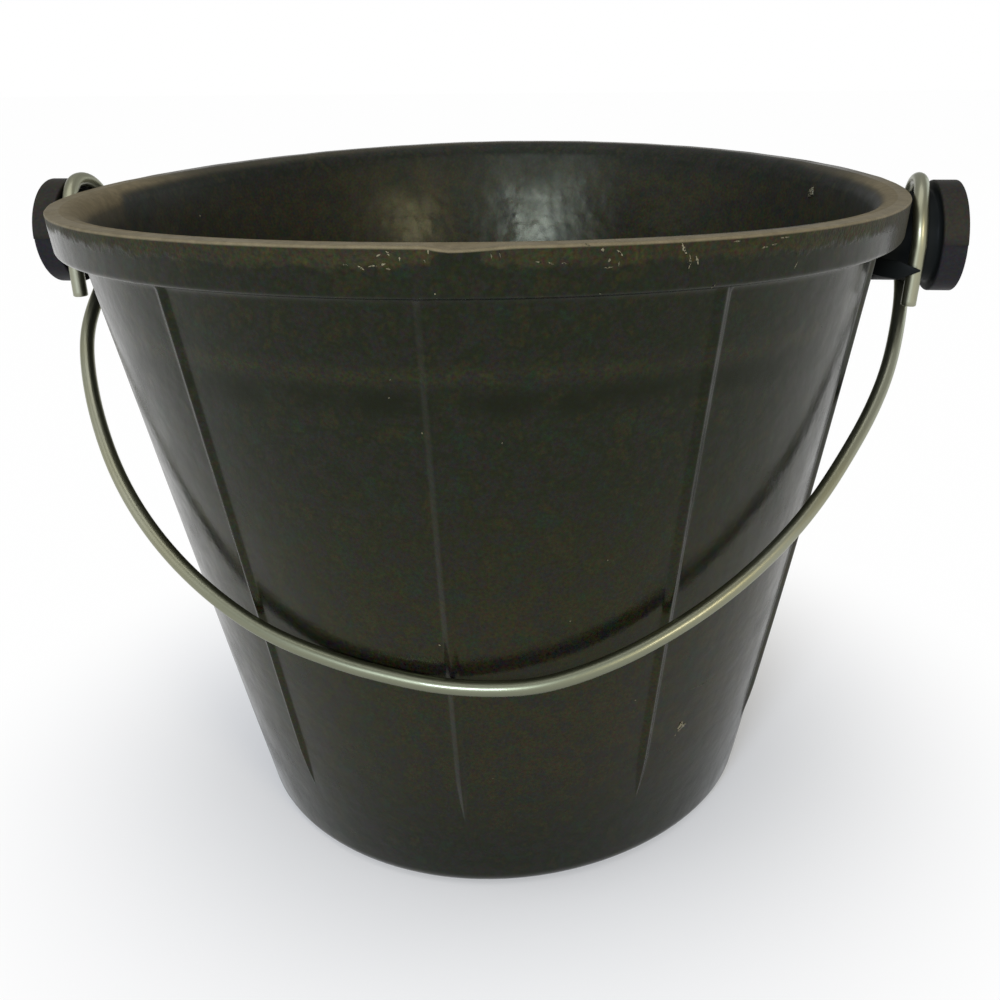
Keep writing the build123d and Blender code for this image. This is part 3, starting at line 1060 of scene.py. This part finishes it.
@dataclass
class Bail:
    """The carrying handle: one wire with an open eye round each boss, short legs and a bow.

    Lengths are in millimetres and angles in radians. The wire hangs against the front rib.
    """

    wire_radius: float = 2.8
    lug_z: float = 232.5
    eye_radius: float = 20.0
    wire_x: float = 163.3
    tail: float = 22.0
    leg: float = 3.7
    rest: float = math.radians(51.206)
    bow_share: float = 0.84
    flank_share: float = 1.19
    bow_turn: float = math.radians(31.4)
    flank_turn: float = math.radians(70.4)
    chamfer: float = 0.25
    sides: int = 24
    eye_stretch: float = 0.045
    eyes: dict[Side, EyeBend] = field(
        default_factory=lambda: {
            Side.LEFT: EyeBend(2.0, -2.5, 0.035, 0.0),
            Side.RIGHT: EyeBend(1.4, -1.7, 0.0, 0.075),
        }
    )
    bends: tuple[tuple[float, float], ...] = (
        (-90.0, 1.7),
        (-80.0, 5.1),
        (-64.0, 1.5),
        (-18.0, -4.1),
        (-8.0, -3.7),
        (14.0, 0.9),
        (62.0, -3.9),
        (74.0, -2.3),
        (82.0, -1.6),
        (88.0, -0.2),
        (96.0, 0.6),
    )
    bend_spread: float = 13.0
    eye_start: float = 0.9
    eye_front: Span = (1.65, 2.6)

    def bow(self, turn: np.ndarray) -> tuple[np.ndarray, np.ndarray]:
        """Half width and reach of the bow where the wire has turned this far from its lowest point.

        Three tangent arcs follow each other: bow, flank and shoulder, the last ending square to X.

        Args:
            turn: Turn of the wire from 0 at the bottom to a quarter turn at the leg.

        Returns:
            Distance from the middle and distance below the point where the wire leaves the eye.
        """
        bow, flank = self.bow_share * self.wire_x, self.flank_share * self.wire_x
        rise = math.sin(self.flank_turn) - math.sin(self.bow_turn)
        end_x = bow * math.sin(self.bow_turn) + flank * rise
        shoulder = (self.wire_x - end_x) / (1.0 - math.sin(self.flank_turn))
        arcs = [
            (0.0, self.bow_turn, bow),
            (self.bow_turn, self.flank_turn, flank),
            (self.flank_turn, math.pi / 2, shoulder),
        ]
        x, reach = np.zeros_like(turn), np.full_like(turn, self.leg)
        for start, end, radius in arcs:
            here = np.clip(turn, start, end)
            x += radius * (np.sin(here) - math.sin(start))
            reach += radius * (np.cos(here) - math.cos(end))
        return x, reach

    def drift(self, turn: np.ndarray) -> np.ndarray:
        """Outward distance of the photographed wire from the true bow.

        Straight lines join the bends, and a bell-shaped moving mean of the width bend_spread rounds
        them off.

        Args:
            turn: Turn of the wire from its lowest point in degrees, negative on the left.

        Returns:
            Distance in millimetres.
        """
        step = 0.5
        turns = np.arange(-110.0, 110.0 + step, step)
        bell = np.hanning(round(self.bend_spread / step) + 1)
        line = np.interp(turns, *zip(*self.bends))
        return np.interp(turn, turns, np.convolve(line, bell / bell.sum(), "same"))

    def bend(self, half: np.ndarray, sweep: np.ndarray, around: np.ndarray, side: Side) -> np.ndarray:
        """Bends one true half of the wire to the photographed one.

        On the bow each point moves by the drift along the bow's outward normal, which has the parts
        sin(sweep) sideways and cos(sweep) downwards. From the leg up the eye's own bend takes over.

        Args:
            half: Points of the right half.
            sweep: Turn of the wire at each point, a quarter turn on the leg, the eye and the tail.
            around: Turn about the lug from the back, half a turn on the tail and -rest below the eye.
            side: Which half to return.

        Returns:
            Points of that half.
        """
        x, y, z = half.T
        eye = self.eyes[side]
        held, fore = smooth(around, -self.rest, self.eye_start), smooth(around, *self.eye_front)
        out = (1.0 - held) * self.drift(side.value * np.degrees(sweep)) + held * (eye.out + eye.front * fore)
        over, under = np.maximum(z - self.lug_z, 0.0), np.maximum(self.lug_z - z, 0.0) * fore
        lower = out * np.cos(sweep)
        place = side.value * (x + out * np.sin(sweep) + eye.lean * over - eye.tail_lean * under)
        rise = self.eye_stretch * over
        return np.stack([place, y - math.sin(self.rest) * lower, z + rise - math.cos(self.rest) * lower], -1)

    def path(self) -> tuple[np.ndarray, np.ndarray, np.ndarray]:
        """Centre line of the wire from the right tail to the left tail.

        Returns:
            Points, unit tangents and unit vectors square to the tangent, none twisting about it.
        """
        drop, over, leg, bow = 12, 44, 4, 150
        along = np.array([0.0, -math.sin(self.rest), -math.cos(self.rest)])
        below = self.eye_radius * math.sin(self.rest)
        leave = np.array([0.0, self.eye_radius * math.cos(self.rest), self.lug_z - below])
        tail_z = self.lug_z - self.tail * np.linspace(1.0, 0.0, drop, endpoint=False)
        tail = np.stack([np.full(drop, self.wire_x), np.full(drop, -self.eye_radius), tail_z], -1)
        turn = np.linspace(math.pi, -self.rest, over, endpoint=False)
        y, z = self.eye_radius * np.cos(turn), self.lug_z + self.eye_radius * np.sin(turn)
        eye = np.stack([np.full(over, self.wire_x), y, z], -1)
        straight = leave + along * np.linspace(0.0, self.leg, leg, endpoint=False)[:, None]
        straight[:, 0] = self.wire_x
        sweep = np.linspace(math.pi / 2, 0.0, bow)
        x, reach = self.bow(sweep)
        lower = leave + along * reach[:, None]
        lower[:, 0] = x
        half = np.concatenate([tail, eye, straight, lower])
        sweep = np.concatenate([np.full(drop + over + leg, math.pi / 2), sweep])
        around = np.concatenate([np.full(drop, math.pi), turn, np.full(leg + bow, -self.rest)])
        halves = [self.bend(half, sweep, around, side) for side in (Side.RIGHT, Side.LEFT)]
        points = np.concatenate([halves[0], halves[1][-2::-1]])
        tangent = np.gradient(points, axis=0)
        tangent /= np.linalg.norm(tangent, axis=1, keepdims=True)
        normal = np.array([0.0, math.cos(self.rest), -math.sin(self.rest)])
        across = np.cross(normal, tangent)
        eyes = np.zeros(len(points), bool)
        eyes[: drop + over] = True
        eyes[-(drop + over) :] = True
        sign = np.sign(np.cross(normal, along)[0]) * np.sign(points[:, :1])
        across = np.where(eyes[:, None], sign * np.array([1.0, 0.0, 0.0]), across)
        across -= tangent * np.sum(across * tangent, axis=1, keepdims=True)
        across /= np.linalg.norm(across, axis=1, keepdims=True)
        return points, tangent, across

    def build(self) -> bpy.types.Object:
        """Carries a circle along the centre line, with a small chamfer at each cut end.

        Returns:
            The bail.
        """
        ends = ((1, 1), (0, 0))
        centre, forward, across = (np.pad(rows, ends, "edge") for rows in self.path())
        centre[1] += self.chamfer * forward[1]
        centre[-2] -= self.chamfer * forward[-2]
        radius = np.full(len(centre), self.wire_radius)
        radius[[0, -1]] -= self.chamfer
        upward = np.cross(forward, across)
        angle = np.linspace(0.0, 2.0 * np.pi, self.sides, endpoint=False)[None, :, None]
        ring = np.cos(angle) * across[:, None, :] + np.sin(angle) * upward[:, None, :]
        grid = centre[:, None, :] + radius[:, None, None] * ring
        length = np.concatenate([[0.0], np.cumsum(np.linalg.norm(np.diff(centre, axis=0), axis=1))])
        girth = np.linspace(0.0, 2.0 * np.pi * self.wire_radius, self.sides + 1)[None, :]
        wrap = np.stack(np.broadcast_arrays(girth, length[:, None]), -1)
        surface = Surface()
        surface.add_grid(grid, {}, wrap=wrap)
        return surface.mesh("wire_bail")

    def dress(self, piece: bpy.types.Object, finish: WireFinish) -> None:
        """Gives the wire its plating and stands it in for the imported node."""
        piece.data.materials.append(finish.material())
        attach(piece, "handle")
        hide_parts("bail")


@dataclass(frozen=True)
class SoftBox:
    """A rectangular lamp that faces a point."""

    name: str
    place: tuple[float, float, float]
    aim: tuple[float, float, float]
    size: Span
    watts: float
    colour: Colour = (1.0, 1.0, 1.0)

    def light(self) -> None:
        """Adds the lamp to the scene."""
        lamp = bpy.data.lights.new(self.name, "AREA")
        lamp.shape = "RECTANGLE"
        lamp.size, lamp.size_y = self.size
        lamp.energy = self.watts
        lamp.color = self.colour
        made = bpy.data.objects.new(self.name, lamp)
        back = np.array(self.place) - np.array(self.aim)
        back = back / np.linalg.norm(back)
        flat = math.hypot(back[0], back[1])
        made.location = self.place
        made.rotation_euler = (math.atan2(flat, back[2]), 0.0, math.atan2(back[0], -back[1]))
        bpy.context.scene.collection.objects.link(made)


@dataclass
class Studio:
    """White floor and surroundings, soft lamps and the photograph's camera.

    Lengths are in metres and angles in radians. The floor glows more with the distance from the
    bucket, by fade_share over fade_reach, so that it ends in the white of the surroundings.
    """

    station: tuple[float, float, float] = (0.078154, -0.453399, 0.306635)
    heading: float = -0.110998
    dip: float = 0.389104
    roll: float = 0.012910
    focal_share: float = 1.143850
    lens_shift: float = -0.06
    sensor_mm: float = 36.0
    ambient: float = 0.45
    overhead: float = 0.5
    horizon: Span = (0.03, 0.24)
    floor_half: float = 6.0
    floor_grey: float = 0.86
    fade_reach: Span = (0.1, 0.27)
    fade_share: Span = (0.2, 0.985)
    boxes: tuple[SoftBox, ...] = (
        SoftBox("ceiling_box", (-0.2, -0.2, 2.2), (0.0, 0.0, 0.1), (1.8, 1.8), 12.0),
        SoftBox("window_box", (-0.40, -2.05, 0.81), (0.0, 0.14, 0.23), (0.55, 0.5), 34.0, (0.76, 0.84, 1.0)),
        SoftBox("wall_box", (1.29, -1.65, 0.79), (0.0, 0.14, 0.23), (0.5, 0.6), 11.5, (1.0, 0.88, 0.66)),
        SoftBox("right_box", (1.5, 1.2, 0.8), (0.0, 0.0, 0.1), (1.2, 1.2), 5.0, (0.86, 0.94, 1.0)),
        SoftBox("left_box", (-1.6, -0.6, 1.0), (0.0, 0.0, 0.1), (1.0, 1.2), 3.5),
    )

    def camera(self) -> None:
        """Puts the camera where the photograph was taken."""
        data = bpy.data.cameras.new("photo_camera")
        data.sensor_width = self.sensor_mm
        data.lens = self.sensor_mm * self.focal_share
        data.shift_x = self.lens_shift
        data.clip_start = 0.01
        made = bpy.data.objects.new("photo_camera", data)
        turn = Matrix.Rotation(-self.heading, 4, "Z") @ Matrix.Rotation(math.pi / 2 - self.dip, 4, "X")
        made.matrix_world = Matrix.Translation(self.station) @ turn @ Matrix.Rotation(-self.roll, 4, "Z")
        bpy.context.scene.collection.objects.link(made)
        bpy.context.scene.camera = made

    def seen_directly(self, bench: NodeBench) -> Socket:
        """1 for rays from the camera, mirrors and glass, and 0 for rays that carry diffuse light."""
        path = bench.node("LightPath")
        seen = bench.math("ADD", path.outputs["Is Camera Ray"], path.outputs["Is Glossy Ray"], True)
        return bench.math("ADD", seen, path.outputs["Is Transmission Ray"], True)

    def surroundings(self) -> None:
        """White surroundings, greyer overhead where the rubber mirrors them, and even grey light."""
        world = bpy.data.worlds.new("studio")
        world.use_nodes = True
        world.node_tree.nodes.clear()
        bench = NodeBench(world.node_tree)
        upward = bench.node("SeparateXYZ", {0: bench.node("TexCoord").outputs["Generated"]}).outputs[2]
        camera_ray = bench.node("LightPath").outputs["Is Camera Ray"]
        sky = bench.math("MAXIMUM", bench.ramp(upward, *self.horizon, 1.0, self.overhead), camera_ray)
        levels = {"Value": self.seen_directly(bench), "To Min": self.ambient, "To Max": sky}
        level = bench.node("MapRange", levels)
        back = bench.node("Background", {"Color": (1.0, 1.0, 1.0), "Strength": level.outputs[0]})
        bench.node("OutputWorld", {"Surface": back.outputs[0]})
        world.cycles.sampling_method = "NONE"
        bpy.context.scene.world = world

    def floor(self) -> None:
        """Large pale floor that keeps a soft shadow and fades into the white surroundings."""
        data = bpy.data.meshes.new("floor")
        half = self.floor_half
        corners = [(-half, -half, 0.0), (half, -half, 0.0), (half, half, 0.0), (-half, half, 0.0)]
        data.from_pydata(corners, [], [(0, 1, 2, 3)])
        made = bpy.data.objects.new("floor", data)
        bpy.context.scene.collection.objects.link(made)
        material, bench = new_material("pale_floor")
        matte = bench.node("BsdfDiffuse", {"Color": (self.floor_grey,) * 3})
        glow = bench.node("Emission", {"Color": (1.0, 1.0, 1.0), "Strength": 1.0})
        place = bench.node("TexCoord").outputs["Object"]
        away = bench.node("VectorMath", {0: place}, operation="LENGTH").outputs["Value"]
        share = bench.ramp(away, *self.fade_reach, *self.fade_share)
        share = bench.product(self.seen_directly(bench), share)
        mixed = bench.node("MixShader", {0: share, 1: matte.outputs[0], 2: glow.outputs[0]})
        bench.node("OutputMaterial", {"Surface": mixed.outputs[0]})
        material.cycles.emission_sampling = "NONE"
        data.materials.append(material)

    def build(self) -> None:
        """Sets up camera, lamps, surroundings, floor and the plain view transform."""
        self.camera()
        self.surroundings()
        self.floor()
        for box in self.boxes:
            box.light()
        bpy.context.scene.view_settings.view_transform = "Standard"


def main() -> None:
    """Builds and dresses each sub-assembly, then the studio."""
    logging.basicConfig(level=logging.INFO, format="%(name)s %(message)s")
    body = RubberBody()
    moulding = body.build()
    # The bore's rubber is a copy of the wall's with lighter base colours, which paint light into the bucket,
    # and a less yellow painted reflection tint.
    bore = RubberFinish(
        name="bore_rubber",
        olive=(0.0120, 0.0118, 0.0048),
        brown=(0.0165, 0.0135, 0.0066),
        purple=(0.0100, 0.0086, 0.0084),
        painted_reflection_tint=(0.97, 1.0, 0.74),
    )
    body.dress(moulding, {Coat.RUBBER: RubberFinish(), Coat.LUG: LugFinish(), Coat.BORE: bore})
    LOG.info("%s has %d faces", moulding.name, len(moulding.data.polygons))
    bail = Bail()
    wire = bail.build()
    bail.dress(wire, WireFinish())
    LOG.info("%s has %d faces", wire.name, len(wire.data.polygons))
    Studio().build()


if __name__ == "__main__":
    main()
